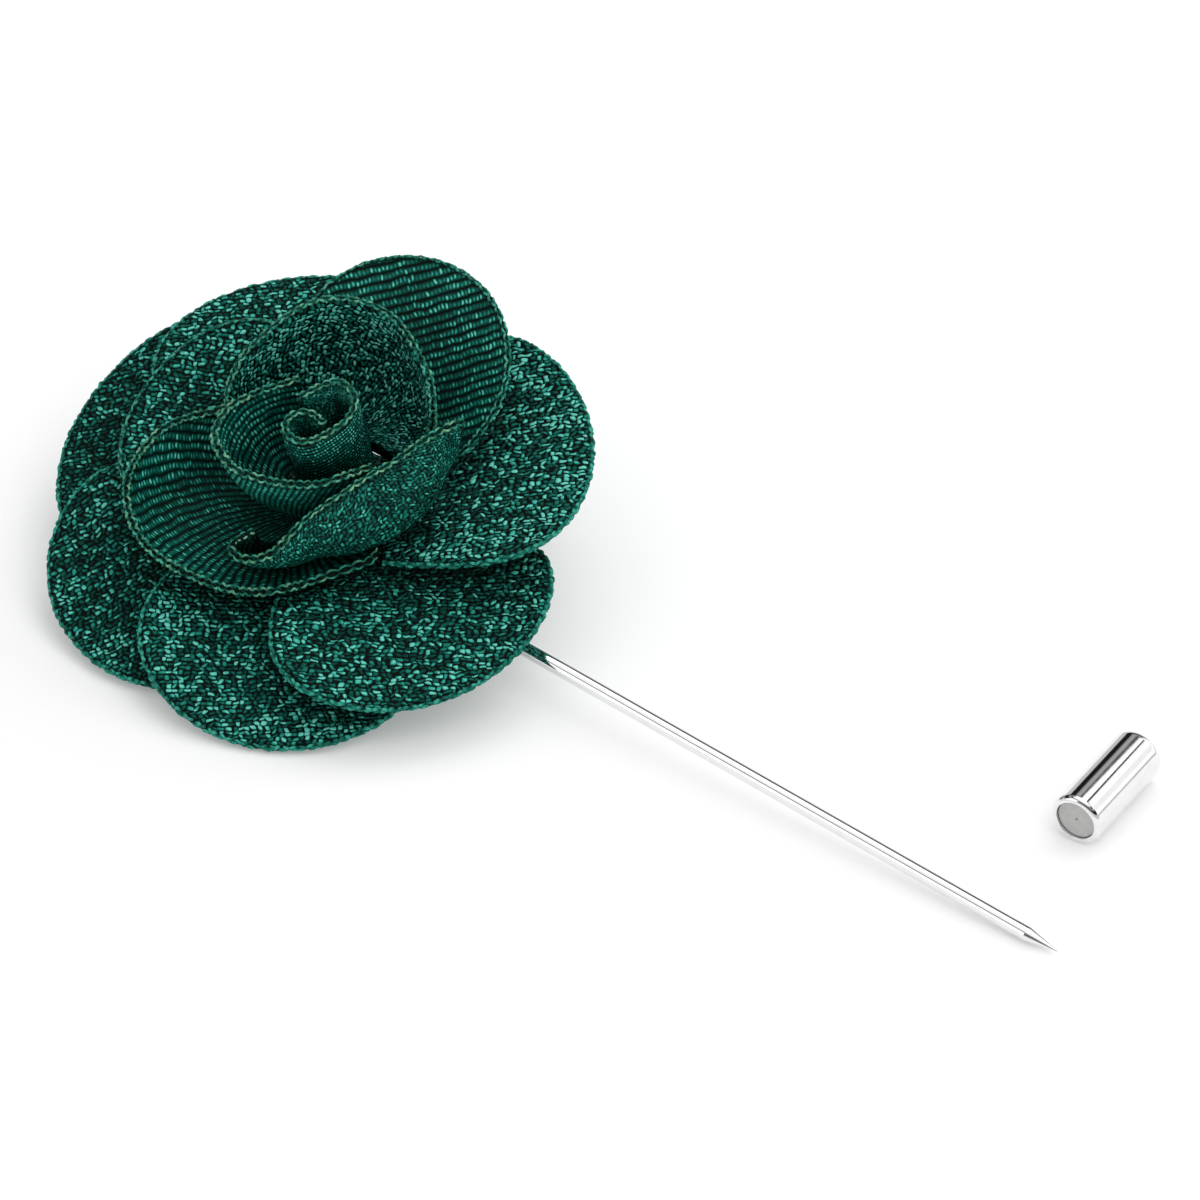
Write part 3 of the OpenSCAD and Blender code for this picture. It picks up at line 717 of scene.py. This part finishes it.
def build_cloth(name, form, seed, cloths, stitch):
    """A piece of cloth with its two woven faces and, as a piece of its own, its stitched rim."""
    upper, under, upper_rows, under_rows, tone = PETAL_CLOTHS[name]
    weaves = (upper, under)
    made = cloth_mesh(form, weaves, (upper_rows, under_rows), tone, seed)
    points, quads, values, yarns, layout, uppers = made
    piece = make_mesh(name + "_cloth", points, quads, values, yarns, layout)
    for weave in weaves:
        piece.data.materials.append(cloths[weave])
    piece.data.polygons.foreach_set("material_index", (np.arange(len(quads)) >= uppers).astype(np.int32))
    points, quads, values, layout = joined(chain(form, form.rim(), seed, *CORDS.get(name, CORD)))
    rim = make_mesh(name + "_rim", points, quads, values, None, layout)
    rim.data.materials.append(stitch)
    for made in (piece, rim):
        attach(made, "root")
        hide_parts(name)
    edge = form.outline()


def rgb(r, g, b):
    """An sRGB colour as linear values."""
    shares = (r / 255, g / 255, b / 255)
    return tuple(((c + 0.055) / 1.055) ** 2.4 if c > 0.04 else c / 12.92 for c in shares) + (1,)


class Graph:
    """The nodes of a material or of the world, joined by short calls."""

    def __init__(self, owner):
        owner.use_nodes = True
        self.owner = owner
        self.tree = owner.node_tree
        self.tree.nodes.clear()

    def node(self, kind, inputs=(), **settings):
        """A node with its settings, and its inputs by name or number."""
        node = self.tree.nodes.new(kind)
        for key, value in settings.items():
            setattr(node, key, value)
        for key, value in dict(inputs).items():
            self.join(value, node.inputs[key])
        return node

    def join(self, source, target):
        if isinstance(source, bpy.types.NodeSocket):
            self.tree.links.new(source, target)
        else:
            target.default_value = source

    def math(self, operation, *values):
        return self.node("ShaderNodeMath", enumerate(values), operation=operation).outputs[0]

    def add(self, a, b):
        return self.math("ADD", a, b)

    def sub(self, a, b):
        return self.math("SUBTRACT", a, b)

    def mul(self, a, b):
        return self.math("MULTIPLY", a, b)

    def vary(self, tone, low, spread, value):
        """The tone times low at a value of 0, and times low + spread at 1."""
        return self.mul(tone, self.add(low, self.mul(value, spread)))

    def mix(self, factor, a, b):
        return self.add(a, self.mul(factor, self.sub(b, a)))

    def blend(self, factor, a, b):
        """Colour a where the factor is 0, and b where it is 1."""
        return self.node("ShaderNodeMix", {0: factor, 6: a, 7: b}, data_type="RGBA").outputs[2]

    def vector(self, operation, *values):
        return self.node("ShaderNodeVectorMath", enumerate(values), operation=operation).outputs[0]

    def between(self, value, low, high):
        """0 at low, 1 at high, and clamped."""
        return self.node("ShaderNodeMapRange", enumerate((value, low, high)), clamp=True).outputs[0]

    def split(self, vector):
        return self.node("ShaderNodeSeparateXYZ", {0: vector}).outputs[:3]

    def attribute(self, name):
        """The three values of a mesh attribute."""
        return self.split(self.node("ShaderNodeAttribute", attribute_name=name).outputs["Vector"])

    def luck(self, cell, offset):
        """Three random values for each cell."""
        place = self.vector("ADD", cell, (offset, offset, offset))
        return self.split(self.node("ShaderNodeTexWhiteNoise", {"Vector": place}).outputs["Color"])

    def noise(self, scale, detail=2.0):
        """Smooth noise from 0 to 1, with features of 1 / scale metres."""
        place = self.node("ShaderNodeTexCoord").outputs["Object"]
        inputs = {"Vector": place, "Scale": scale, "Detail": detail}
        return self.node("ShaderNodeTexNoise", inputs).outputs["Fac"]

    def ramp(self, factor, stops):
        node = self.node("ShaderNodeValToRGB", {"Fac": factor})
        elements = node.color_ramp.elements
        elements[0].position, elements[0].color = stops[0]
        elements[1].position, elements[1].color = stops[-1]
        for position, colour in stops[1:-1]:
            elements.new(position).color = colour
        return node.outputs["Color"]


class Surface(Graph):
    """The nodes of a material."""

    def __init__(self, name):
        super().__init__(bpy.data.materials.new(name))
        self.shader = self.node("ShaderNodeBsdfPrincipled")
        self.node("ShaderNodeOutputMaterial", {"Surface": self.shader.outputs["BSDF"]})

    def bump(self, height, distance, strength):
        inputs = {"Height": height, "Distance": distance, "Strength": strength}
        self.join(self.node("ShaderNodeBump", inputs).outputs["Normal"], self.shader.inputs["Normal"])

    def finish(self, colour, roughness):
        self.join(colour, self.shader.inputs["Base Color"])
        self.join(roughness, self.shader.inputs["Roughness"])
        return self.owner


def dome(g, value, half):
    """1 in the middle, 0 at half to either side."""
    share = g.math("DIVIDE", value, half)
    return g.math("MAXIMUM", g.sub(1.0, g.mul(share, share)), 0.0)


def wandering(g, scale, reach):
    """The cloth's flat places, with the rows made to wander by up to half of reach."""
    yarns = g.node("ShaderNodeUVMap", uv_map="yarns").outputs["UV"]
    inputs = {"Vector": yarns, "Scale": scale, "Detail": 1.0}
    bend = g.node("ShaderNodeTexNoise", inputs, noise_dimensions="2D").outputs["Color"]
    stray = g.vector("SUBTRACT", bend, (0.5, 0.5, 0.5))
    stray = g.node("ShaderNodeVectorMath", {0: stray, "Scale": reach}, operation="SCALE").outputs[0]
    return g.vector("ADD", yarns, stray)


def cells(g, places, pitch):
    """The cell that a place lies in, and the place within it from its middle, as shares of the cell."""
    x, y, _ = g.split(places)
    x, y = g.math("DIVIDE", x, pitch[0]), g.math("DIVIDE", y, pitch[1])
    row = g.math("FLOOR", y)
    x = g.add(x, g.node("ShaderNodeTexWhiteNoise", {"W": row}, noise_dimensions="1D").outputs["Value"])
    column = g.math("FLOOR", x)
    cell = g.node("ShaderNodeCombineXYZ", {0: column, 1: row}).outputs[0]
    return column, row, cell, g.sub(g.sub(x, column), 0.5), g.sub(g.sub(y, row), 0.5)


def weave_pattern(g, pitch, loose, mixed, low, spread, wander):
    """Height and tone of a plain weave of uneven yarns, from 0 to 1. The tone holds painted shade between the
    yarns and painted highlights on them.

    pitch is the distance between the yarns in millimetres, loose how far they stray, mixed the share of the
    crossings that break the order, low the tone of the painted shade between the yarns, spread how unlike
    they are, and wander how far the rows stray.
    """
    column, row, cell, fx, fy = cells(g, wandering(g, 0.9, wander), pitch)
    bright, right, left = g.luck(cell, 0.37)
    thick, flip, way = g.luck(cell, 5.21)
    fx = g.add(fx, g.mul(g.sub(right, 0.5), loose))
    fy = g.add(fy, g.mul(g.sub(left, 0.5), loose))
    odd = g.math("FLOORED_MODULO", g.add(column, row), 2.0)
    odd = g.math("ABSOLUTE", g.sub(odd, g.math("LESS_THAN", flip, mixed)))
    along, across = g.mix(odd, fx, fy), g.mix(odd, fy, fx)
    across = g.add(across, g.mul(along, g.sub(way, 0.5)))
    half = g.add(0.34, g.mul(thick, 0.16))
    height = g.mul(dome(g, along, 0.66), dome(g, across, half))
    # Painted shade: the tone falls to near-black where the yarns sink into the gaps
    body = g.between(height, 0.06, 0.66)
    # Each yarn's own random tone, the brightest of them standing for painted glints
    yarn_tone_and_glint = g.add(1.0 - spread, g.mul(g.math("POWER", bright, 1.8), 1.9 * spread))
    # Painted highlight towards one end of each yarn
    slant = g.add(1.0, g.mul(along, g.mul(g.sub(way, 0.3), 1.6)))
    lit = g.mul(body, g.mul(yarn_tone_and_glint, slant))
    return height, g.add(low, g.mul(lit, 1.0 - low))


def rib_pattern(g, rib, tick, floor, low, strength, wander):
    """Height and tone of ribs crossed by small bright binding threads, with painted shade between the ribs.

    rib and tick are the distances between the ribs and between the threads on one, in millimetres. floor is
    the tone between the ribs as a share of low, their own tone, strength the threads' tone, and wander how
    far the rows stray.
    """
    _, _, cell, fx, fy = cells(g, wandering(g, 0.6, wander), (tick, rib))
    bright, high, slant = g.luck(cell, 0.37)
    fx = g.add(fx, g.mul(fy, g.sub(g.mul(slant, 0.7), 0.2)))
    crest = dome(g, fy, 0.5)
    centre = g.sub(g.mul(high, 0.30), 0.15)
    lit = g.mul(dome(g, fx, 0.34), dome(g, g.sub(fy, centre), 0.36))
    height = g.add(g.mul(crest, 0.6), g.mul(lit, 0.4))
    # Each thread's own random tone, the brightest of them standing for painted glints
    yarn_tone_and_glint = g.add(0.15, g.mul(0.85, g.math("POWER", bright, 1.5)))
    # Painted shade: the tone falls towards floor between the ribs, lighter on their crests
    crest = g.add(floor, g.mul(g.math("POWER", crest, 1.3), 1.0 - floor))
    tone = g.add(g.mul(crest, low), g.mul(lit, g.mul(yarn_tone_and_glint, strength)))
    return height, tone


def cloth_material(name, weave):
    """Woven yarn: near-black gaps, green yarns and light crests, with fine fibres; the dark gaps are painted
    shade and the light crests painted highlights.

    Shade is painted into it where other pieces keep the light off, far in from the rim, and under the rim's
    chain, and each piece carries painted light and shade of its own.
    """
    g = Surface(name)
    height, tone = rib_pattern(g, *weave["ribs"]) if "ribs" in weave else weave_pattern(g, *weave["weave"])
    near, share, light = g.attribute("weave")
    fibres = g.noise(9000)
    # The piece's own painted light and shade
    tone = g.mul(tone, share)
    tone = g.vary(tone, 0.70, 0.60, g.noise(300))
    tone = g.vary(tone, 0.66, 0.68, fibres)
    # Painted shade where other pieces keep the light off
    tone = g.vary(tone, SHADE, 1.0 - SHADE, g.between(light, 0.15, 0.90))
    # Painted shade: darker far in from the rim
    tone = g.vary(tone, 1.0 - RIM_SHADE_SHARE, RIM_SHADE_SHARE, g.between(near, 0.0, 0.8))
    # Painted shade under the rim's chain
    tone = g.vary(tone, 1.0, -0.55, g.between(near, 0.87, 0.95))
    g.bump(g.add(height, g.mul(fibres, 0.15)), weave["depth"] * MM, 0.85)
    g.shader.inputs["Specular IOR Level"].default_value = 0.08
    return g.finish(g.ramp(tone, GREENS), g.sub(0.62, g.mul(tone, 0.2)))


def stitch_material(name):
    """Thread of the rim: green, with some links yellower and lighter, and painted highlight and shade along
    each yarn.
    """
    g = Surface(name)
    bright, luck, pale = g.attribute("weave")
    fibres = g.noise(9000, 3.0)
    twist = g.noise(2600, 1.0)
    tone = g.vary(bright, 0.44, 0.64, g.add(twist, fibres))
    tone = g.vary(tone, 0.75, 0.45, luck)
    green = g.ramp(tone, DARK_THREAD)
    light = g.ramp(tone, PALE_THREAD)
    g.bump(g.add(fibres, twist), 0.02 * MM, 0.8)
    g.shader.inputs["Specular IOR Level"].default_value = 0.10
    return g.finish(g.blend(pale, green, light), g.add(0.5, g.mul(fibres, 0.2)))


def metal_material(name, colour, roughness, scratch):
    """Polished metal with faint fine marks."""
    g = Surface(name)
    marks = g.noise(900, 4.0)
    g.shader.inputs["Metallic"].default_value = 1.0
    dull = tuple(0.94 * c for c in colour[:3]) + (1,)
    return g.finish(g.ramp(marks, ((0.3, dull), (0.7, colour))), g.add(roughness, g.mul(marks, scratch)))


def matte_material(name, light, dark, roughness):
    """Plain moulded plastic with a fine grain."""
    g = Surface(name)
    grain = g.noise(3500, 3.0)
    g.bump(grain, 0.01 * MM, 0.5)
    return g.finish(g.ramp(grain, ((0.3, dark), (0.7, light))), g.add(roughness, g.mul(grain, 0.1)))


def lathe(name, profile, start, axis, sides):
    """A turned body: profile rows are (distance along the axis, radius)."""
    profile = np.asarray(profile, float)
    axis = unit(np.asarray(axis, float))
    side = unit(np.cross(axis, [0, 0, 1]))
    up = np.cross(side, axis)
    a = np.linspace(0, 2 * np.pi, sides, endpoint=False)
    ring = np.cos(a)[:, None] * side + np.sin(a)[:, None] * up
    along, out = profile[:, 0, None, None], profile[:, 1, None, None]
    points = (start + along * axis + out * ring[None]).reshape(-1, 3)
    k = np.arange(sides)
    rows = np.arange(len(profile) - 1)[:, None] * sides
    after = (k + 1) % sides
    faces = np.stack([rows + k, rows + after, rows + sides + after, rows + sides + k], axis=-1)
    return make_mesh(name, points, faces.reshape(-1, 4))


def arc(centre, radius, start, end, count):
    """Profile points on an arc: angles from the axis direction towards outward."""
    a = np.radians(np.linspace(start, end, count))
    return [(centre[0] + radius * math.cos(x), centre[1] + radius * math.sin(x)) for x in a]


def build_pin(metal):
    """The straight wire with its turned point, and the hidden post at its other end."""
    r = WIRE_D / 2
    post = POST_D / 2
    tip = WIRE_LEN + POINT_LEN
    edge = 0.12
    out = FOOT_R + POST_OUT
    profile = [(-POST_BACK, 0.001), (-POST_BACK, post - edge)]
    profile += arc((-POST_BACK + edge, post - edge), edge, 180, 90, 5)
    profile += [(out - edge, post)]
    profile += arc((out - edge, post - edge), edge, 90, 0, 5)
    profile += [(out, r + 0.01), (out + 0.02, r)]
    profile += [(x, r) for x in np.linspace(out + 0.5, WIRE_LEN - 0.12, 24)]
    profile += [(WIRE_LEN - 0.03, r - 0.005), (WIRE_LEN + 0.08, r - 0.03)]
    profile += [(mix(WIRE_LEN + 0.08, tip - 0.05, f), mix(r - 0.03, 0.055, f))
                for f in np.linspace(0.1, 1, 10)]
    profile += [(tip - 0.01, 0.03), (tip, 0.001)]
    pin = lathe("pin_wire", profile, PIN_START, PIN_AXIS, 72)
    pin.data.materials.append(metal)
    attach(pin, "root")
    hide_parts("stick_pin")


def build_cap(metal, grip_material):
    """The polished tube with a rounded mouth and a rounded closed end, and the grip set into its mouth."""
    r = CAP_D / 2
    axis = np.append(around(CAP_TURN), 0)
    low, high = (np.array(c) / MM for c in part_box("cap_shell"))
    start = np.append(((low + high) / 2)[:2], r) - axis * CAP_LEN / 2
    inner = r - CAP_WALL
    edge = 0.06
    end = CAP_LEN - CAP_ROUND
    profile = [(CAP_RIM + 0.4, inner), (CAP_RIM, inner), (edge + 0.02, inner)]
    profile += arc((edge, inner + edge), edge, 270, 180, 5)[1:]
    profile += arc((CAP_LIP, r - CAP_LIP), CAP_LIP, 180, 90, 17)
    profile += [(x, r) for x in (CAP_LIP + 0.01, CAP_LIP + 0.06)]
    profile += [(x, r) for x in np.linspace(CAP_LIP + 0.3, end - 0.3, 12)]
    profile += [(end - x, r) for x in (0.06, 0.01)]
    profile += arc((end, r - CAP_ROUND), CAP_ROUND, 90, 0, 19)
    profile += [(CAP_LEN, (r - CAP_ROUND) * f) for f in (0.98, 0.9, 0.6, 0.3)]
    profile += [(CAP_LEN, 0.001)]
    shell = lathe("cap_tube", profile, start, axis, 128)
    shell.data.materials.append(metal)
    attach(shell, "root")
    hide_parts("cap_shell")
    hole = 0.10
    rim = inner - 0.03
    face = [(CAP_RIM + 3, hole), (CAP_RIM + 0.2, hole)]
    face += arc((CAP_RIM + 0.05, hole + 0.05), 0.05, 270, 180, 4)
    face += [(CAP_RIM, mix(hole + 0.08, rim - 0.09, f)) for f in np.linspace(0, 1, 10)]
    face += arc((CAP_RIM + 0.06, rim - 0.06), 0.06, 180, 90, 5)
    face += [(CAP_RIM + 0.2, rim), (CAP_RIM + 0.6, rim)]
    grip = lathe("cap_grip_face", face, start, axis, 96)
    grip.data.materials.append(grip_material)
    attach(grip, "root")
    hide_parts("cap_grip")


def build_foot(cloths):
    """The gathered cloth foot under the petals, with soft radial folds."""
    sides = 264
    ball_r = FOOT_R - 0.25
    folds = 14
    lat = np.radians(np.linspace(-88, -8, 60))
    # Rows of radius, height and depth of the folds: the ball under the petals, and the top that they cover
    ball = np.column_stack([ball_r * np.cos(lat), ball_r * np.sin(lat), 0.16 * np.cos(lat)])
    top = np.array([(7.02, -0.87, 0.12), (6.6, -0.75, 0.10), (5.6, -0.40, 0.05), (4.5, -0.10, 0),
                    (3.9, 0.05, 0), (3.72, 0.4, 0), (3.7, 1.2, 0), (3.6, 1.6, 0), (3.3, 1.7, 0),
                    (1.6, 1.7, 0), (0.01, 1.7, 0)])
    profile = np.concatenate([ball, top])
    rows = len(profile)
    around_a, place = np.meshgrid(np.linspace(0, 2 * np.pi, sides + 1), np.arange(rows))
    r, h, fold = (profile[place, k] for k in range(3))
    r = r + fold * np.cos(folds * around_a + 0.8 * np.sin(3 * around_a))
    points = placed(np.stack([r * np.cos(around_a), r * np.sin(around_a), h], axis=-1).reshape(-1, 3))
    above_table = 0.02
    points[:, 2] = np.maximum(points[:, 2], above_table)
    n = np.arange(rows * (sides + 1)).reshape(rows, sides + 1)
    faces = np.stack([n[:-1, :-1], n[:-1, 1:], n[1:, 1:], n[1:, :-1]], axis=-1).reshape(-1, 4)
    along = distances(profile[:, :2])[place]
    yarns = np.stack([around_a * FOOT_R, along], axis=-1).reshape(-1, 2)
    # Nearness to an edge, tone and openness, as in cloth_mesh: an even painted shade over the whole foot
    values = np.tile([0.3, 0.8, 0.5, 1.0], (len(points), 1))
    layout = np.stack([around_a / (2 * np.pi), along / along.max()], axis=-1).reshape(-1, 2)
    foot = make_mesh("foot_cloth", points, faces, values, yarns, 0.01 + 0.98 * layout)
    foot.data.materials.append(cloths["plain"])
    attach(foot, "root")
    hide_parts("flower_foot")


def build_camera():
    """The photograph's view: from the pin's side, 40 degrees above the table, through a long lens."""
    across = math.radians(38)
    down = math.radians(40)
    distance = 1389
    right = Vector((math.cos(across), math.sin(across), 0))
    ahead = Vector((-math.sin(across), math.cos(across), 0))
    look = ahead * math.cos(down) - Vector((0, 0, 1)) * math.sin(down)
    up = right.cross(look)
    # The pin's start and the middle of a frame 1200 pixels wide, at 12 pixels to the millimetre
    pin_start_px = (320, 582)
    middle_px = 600
    px_per_mm = 12
    to_middle = (right * (middle_px - pin_start_px[0]) + up * (pin_start_px[1] - middle_px)) / px_per_mm
    target = Vector((PIN_START[0] + 0.1, PIN_START[1], 0)) + to_middle
    data = bpy.data.cameras.new("camera")
    data.sensor_width = 36
    data.lens = 500
    data.clip_start = 0.05
    data.clip_end = 10
    camera = add_object("camera", data)
    turn = Matrix((right, up, -look)).transposed().to_4x4()
    camera.matrix_world = Matrix.Translation((target - look * distance) * MM) @ turn
    bpy.context.scene.camera = camera


def build_stage():
    """A plain pale table, even light, soft boxes, and the room that the metal mirrors."""
    half = 3000
    points = np.array([[-half, -half, 0], [half, -half, 0], [half, half, 0], [-half, half, 0]], float)
    floor = make_mesh("table", points, np.array([[0, 1, 2, 3]]), smooth=False)
    g = Surface("table")
    g.shader.inputs["Specular IOR Level"].default_value = 0.1
    # The table also glows a little, a painted light that lifts its shadows
    g.shader.inputs["Emission Color"].default_value = (1, 1, 1, 1)
    g.shader.inputs["Emission Strength"].default_value = TABLE_PAINTED_GLOW
    floor.data.materials.append(g.finish((TABLE_GREY, TABLE_GREY, TABLE_GREY, 1), 0.85))
    world = bpy.data.worlds.new("studio")
    g = Graph(world)
    height = g.split(g.node("ShaderNodeTexCoord").outputs["Generated"])[2]
    room = g.ramp(height, [(place, (grey, grey, grey, 1)) for place, grey in ROOM])
    glossy = g.node("ShaderNodeLightPath").outputs["Is Glossy Ray"]
    background = g.node("ShaderNodeBackground", {"Color": g.blend(glossy, (FILL, FILL, FILL, 1), room)})
    g.node("ShaderNodeOutputWorld", {"Surface": background.outputs[0]})
    bpy.context.scene.world = world
    aim = Vector((0, 0, 5)) * MM
    for name, (azimuth, elevation, distance, size, power, lights, shows) in LIGHTS.items():
        data = bpy.data.lights.new(name, "AREA")
        data.shape = "RECTANGLE"
        data.size, data.size_y = size[0] * MM, size[1] * MM
        data.energy = power
        box = add_object(name, data)
        rise = math.radians(elevation)
        at = Vector((*(math.cos(rise) * around(azimuth)), math.sin(rise))) * distance * MM
        turn = (aim - at).to_track_quat("-Z", "Y").to_matrix().to_4x4()
        box.matrix_world = Matrix.Translation(at) @ turn
        box.visible_diffuse = lights
        box.visible_glossy = shows
    bpy.context.scene.view_settings.view_transform = "Standard"


TABLE_GREY = 0.80
# How strongly the table glows: painted light that lifts its shadows
TABLE_PAINTED_GLOW = 0.20
# Even light on cloth and table, and the brightness of the room that the metal mirrors, from the horizon up
FILL = 0.74
ROOM = ((0.0, 0.62), (0.26, 0.62), (0.31, 0.01), (0.52, 0.01), (0.60, 0.40), (0.67, 0.40), (0.71, 0.05),
        (0.76, 0.05), (0.82, 1.05), (1.0, 1.15))
# Soft boxes: azimuth, elevation and distance from the object, size, power in watts, whether each lights the
# cloth and the table, and whether the metal mirrors it
LIGHTS = {
    "key": (104, 66, 450, (300, 300), 0.36, True, True),
    "right": (62, 26, 500, (466, 335), 0.50, True, True),
    "left": (-117, 25, 500, (300, 330), 0.34, False, True),
    "front": (-10, 62, 520, (320, 300), 0.46, True, False),
}
SOLIDS = BVHTree.FromPolygons(*solid_faces())

build_camera()
build_stage()

# The cloth's colours by tone, from near-black painted shade to light painted highlights, and those of the
# green and of the pale thread of its rims
GREENS = ((0.0, rgb(0, 8, 6)), (0.12, rgb(0, 24, 19)), (0.34, rgb(6, 72, 61)), (0.58, rgb(24, 122, 106)),
          (0.80, rgb(58, 176, 158)), (1.0, rgb(112, 214, 196)))
DARK_THREAD = ((0.0, rgb(0, 14, 11)), (0.45, rgb(3, 56, 47)), (0.8, rgb(22, 112, 97)),
               (1.0, rgb(60, 164, 144)))
PALE_THREAD = ((0.0, rgb(1, 26, 20)), (0.4, rgb(18, 84, 68)), (0.75, rgb(76, 142, 108)),
               (1.0, rgb(150, 190, 142)))
cloths = {name: cloth_material(name + " cloth", weave) for name, weave in WEAVES.items()}
stitch = stitch_material("rim thread")
steel = metal_material("polished steel", (0.86, 0.86, 0.87, 1), 0.05, 0.05)
grip_grey = matte_material("grip", rgb(192, 192, 190), rgb(178, 178, 176), 0.55)

forms = {name: OpenPetal(row) for name, row in OPEN_PETALS.items()}
forms.update({name: WrappedPetal(**facts) for name, facts in WRAPPED_PETALS.items()})
forms["bud"] = Strip()
for k, (name, form) in enumerate(forms.items()):
    build_cloth(name, form, 100 * k, cloths, stitch)
build_foot(cloths)
build_pin(steel)
build_cap(steel, grip_grey)
